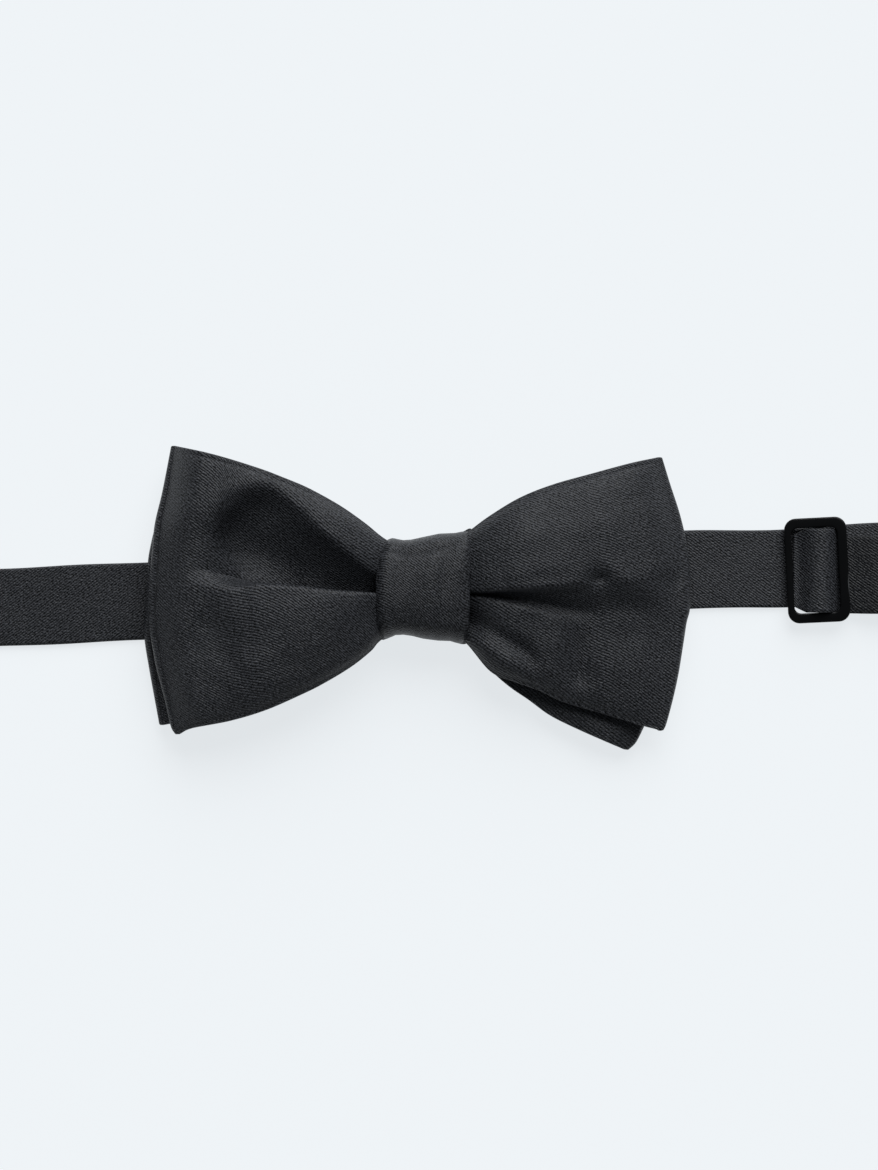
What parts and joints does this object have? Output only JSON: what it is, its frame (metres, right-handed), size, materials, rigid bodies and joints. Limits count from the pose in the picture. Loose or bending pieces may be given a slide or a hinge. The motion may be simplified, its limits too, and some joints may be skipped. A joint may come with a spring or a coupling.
{
  "type": "pre-tied bow tie",
  "caption": "Pre-tied charcoal satin bow tie with layered bows, a wrapped knot and a flat neckband with an adjuster slider and a hook-and-eye closure.",
  "frame": {"origin": "middle of the knot's back face, on the plane the bow tie lies on", "axes": "+X along the neckband from the knot towards the adjuster slider, +Y up the wearer's shirt front, +Z out of the front of the bow"},
  "size_m": [0.3823, 0.0666, 0.0156],
  "materials": {
    "satin": "satin twill",
    "interlining": "matte woven",
    "thread": "twisted thread",
    "slider_finish": "satin black enamel",
    "hook_finish": "satin black enamel"
  },
  "bodies": {
    "bow": {"front_bow_cover": "satin", "front_bow_interlining": "interlining", "rear_bow_cover": "satin", "rear_bow_interlining": "interlining", "knot_cover": "satin", "knot_closing_stitches": "thread", "knot_interlining": "interlining", "waist_binding_thread": "thread", "neckband_center": "satin"},
    "left_band_1": {"left_band_inner": "satin"},
    "left_band_2": {"left_band_mid": "satin"},
    "left_band_3": {"left_band_outer": "satin"},
    "left_band_4": {"left_band_tip": "satin", "eye_fold_stitches": "thread"},
    "eye": {"eye_loop": "hook_finish"},
    "right_band_1": {"right_band_inner": "satin"},
    "right_band_2": {"right_band_outer": "satin", "right_band_lower_end": "satin"},
    "slider": {"slider_frame": "slider_finish", "slider_crossbar": "slider_finish", "strap_end_loop": "satin", "strap_over_crossbar": "satin", "right_band_upper_layer": "satin"},
    "hook_fold": {"hook_strap_fold": "satin"},
    "hook": {"hook": "hook_finish"}
  },
  "joints": [
    {"name": "left_band_wrap", "type": "hinge", "parent": "bow", "child": "left_band_1", "pos_m": [-0.028, -0.0016, 0.00065], "axis": [0, -1, 0], "range_deg": [0, 40]},
    {"name": "left_band_curl", "type": "hinge", "parent": "left_band_1", "child": "left_band_2", "pos_m": [-0.066, -0.0033, 0.00065], "axis": [0, -1, 0], "range_deg": [-45, 45]},
    {"name": "left_band_curl_mid", "type": "hinge", "parent": "left_band_2", "child": "left_band_3", "pos_m": [-0.105, -0.00491, 0.00065], "axis": [0, -1, 0], "range_deg": [-45, 45]},
    {"name": "left_band_curl_end", "type": "hinge", "parent": "left_band_3", "child": "left_band_4", "pos_m": [-0.138, -0.00606, 0.00065], "axis": [0, -1, 0], "range_deg": [-45, 45]},
    {"name": "eye_pivot", "type": "hinge", "parent": "left_band_4", "child": "eye", "pos_m": [-0.172, -0.00696, 0.00195], "axis": [0, -1, 0], "range_deg": [-80, 80]},
    {"name": "right_band_wrap", "type": "hinge", "parent": "bow", "child": "right_band_1", "pos_m": [0.028, 0.0026, 0.00065], "axis": [0, 1, 0], "range_deg": [0, 40]},
    {"name": "right_band_curl", "type": "hinge", "parent": "right_band_1", "child": "right_band_2", "pos_m": [0.066, 0.00394, 0.00065], "axis": [0, 1, 0], "range_deg": [-60, 60]},
    {"name": "slider_travel", "type": "slide", "parent": "right_band_2", "child": "slider", "axis": [0.9998, 0.02, 0], "range_m": [-0.008, 0.088], "deforming": ["right_band_upper_layer", "right_band_lower_end", "strap_over_crossbar"]},
    {"name": "hook_travel", "type": "slide", "parent": "right_band_2", "child": "hook_fold", "axis": [0.9998, 0.02, 0], "range_m": [-0.004, 0.044], "deforming": ["right_band_upper_layer", "right_band_lower_end"]},
    {"name": "hook_pivot", "type": "hinge", "parent": "hook_fold", "child": "hook", "pos_m": [0.187, 0.0062, 0.00195], "axis": [0, 1, 0], "range_deg": [-80, 80]}
  ],
  "couplings": [
    {"joint": "hook_travel", "follows": "slider_travel", "ratio": 0.5}
  ]
}
